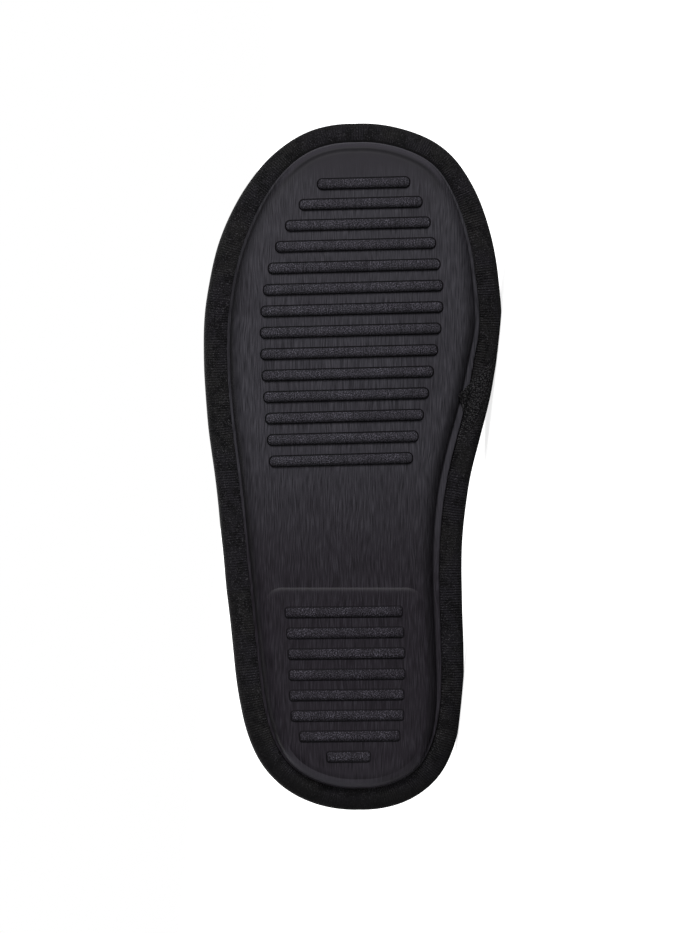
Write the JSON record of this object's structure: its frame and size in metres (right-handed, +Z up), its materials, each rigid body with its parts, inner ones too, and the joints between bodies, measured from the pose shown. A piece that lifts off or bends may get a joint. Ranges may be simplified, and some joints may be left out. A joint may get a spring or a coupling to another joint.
{
  "type": "scuff slipper",
  "caption": "Backless closed-toe slipper for the right foot, lying on its side: ribbed rubber outsole, fabric-wrapped foam platform, padded footbed and a bound knit vamp.",
  "frame": {"origin": "on the floor under the centre of the slipper's box as it lies on its inner side", "axes": "+X towards the toe, +Z up from the floor, -Y the way the tread faces, +Y towards the open top of the vamp"},
  "size_m": [0.2896, 0.0786, 0.1242],
  "materials": {
    "outsole_rubber": "matt moulded black rubber, sand-textured ribs",
    "cover_knit": "black fine-ribbed knit",
    "footbed_pile": "black short pile",
    "upper_knit": "black fine-ribbed knit",
    "binding_tape": "black ribbed tape"
  },
  "bodies": {
    "root": {"outsole": "outsole_rubber", "platform": "cover_knit", "insole": "footbed_pile", "upper": "upper_knit", "topline_binding": "binding_tape"}
  },
  "joints": []
}
